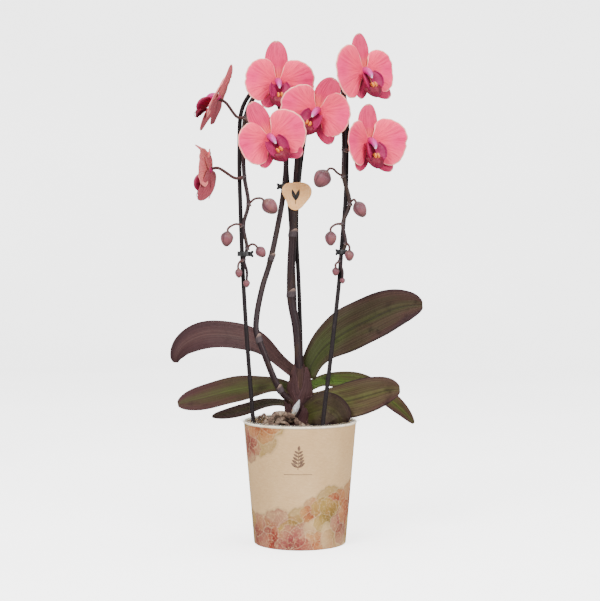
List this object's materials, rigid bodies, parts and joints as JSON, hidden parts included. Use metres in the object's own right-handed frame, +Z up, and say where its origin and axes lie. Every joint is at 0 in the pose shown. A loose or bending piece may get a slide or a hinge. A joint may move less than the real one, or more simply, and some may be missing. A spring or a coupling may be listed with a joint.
{
  "type": "potted orchid",
  "caption": "Moth orchid with cascading flower spikes trained over bow wires, broad strap leaves and a bark-filled pot inside a tapered card cover pot that stands flat.",
  "frame": {"origin": "centre of the cover pot's flat underside, on the surface it stands on", "axes": "+Z up, the plant's front towards -Y, +X to the viewer's right; only +Z is defined by the shape, the front is the side most flowers face"},
  "size_m": [0.2641, 0.1386, 0.5225],
  "materials": {
    "kraft_card": "matt kraft card with a printed blossom wash and a pale rolled rim",
    "clear_plastic": "clear moulded plastic",
    "bark_chips": "rough dark bark chips",
    "root": "dry grey-brown root skin",
    "leaf": "satin olive green, purple-brown towards the edges",
    "leaf_sheath": "satin purple-brown and green",
    "stem": "satin dark purple-brown",
    "petal": "velvety salmon pink with fine veins and a pale edge",
    "sepal": "velvety rose pink with fine veins",
    "lip": "waxy magenta red with a yellow callus",
    "bud": "satin dusky rose-brown",
    "bow_wire": "plastic-coated spring wire, near black",
    "clip": "black moulded plastic",
    "tag_card": "smooth peach-toned card"
  },
  "bodies": {
    "root": {"bark": "bark_chips", "bow_wire_left": "bow_wire", "bow_wire_right": "bow_wire", "bud_left_1": "bud", "bud_left_2": "bud", "bud_left_3": "bud", "bud_left_4": "bud", "bud_left_5": "bud", "bud_right_1": "bud", "bud_right_2": "bud", "bud_right_3": "bud", "bud_right_4": "bud", "bud_right_5": "bud", "bud_right_6": "bud", "clip_centre": "clip", "clip_left": "clip", "clip_right": "clip", "cover_pot": "kraft_card", "crown": "leaf_sheath", "flower_1_lip": "lip", "flower_1_petals": "petal", "flower_1_sepals": "sepal", "flower_2_lip": "lip", "flower_2_petals": "petal", "flower_2_sepals": "sepal", "flower_3_lip": "lip", "flower_3_petals": "petal", "flower_3_sepals": "sepal", "flower_4_lip": "lip", "flower_4_petals": "petal", "flower_4_sepals": "sepal", "flower_5_lip": "lip", "flower_5_petals": "petal", "flower_5_sepals": "sepal", "flower_6_lip": "lip", "flower_6_petals": "petal", "flower_6_sepals": "sepal", "flower_7_lip": "lip", "flower_7_petals": "petal", "flower_7_sepals": "sepal", "flower_spike_left": "stem", "flower_spike_right": "stem", "grow_pot": "clear_plastic", "leaf_back_right": "leaf", "leaf_front_right": "leaf", "leaf_low_left": "leaf", "leaf_mid_left": "leaf", "leaf_mid_right": "leaf", "leaf_upper_left": "leaf", "leaf_upper_right": "leaf", "root_front": "root", "root_left": "root", "root_right": "root", "root_tip": "root", "tag": "tag_card"}
  },
  "joints": []
}
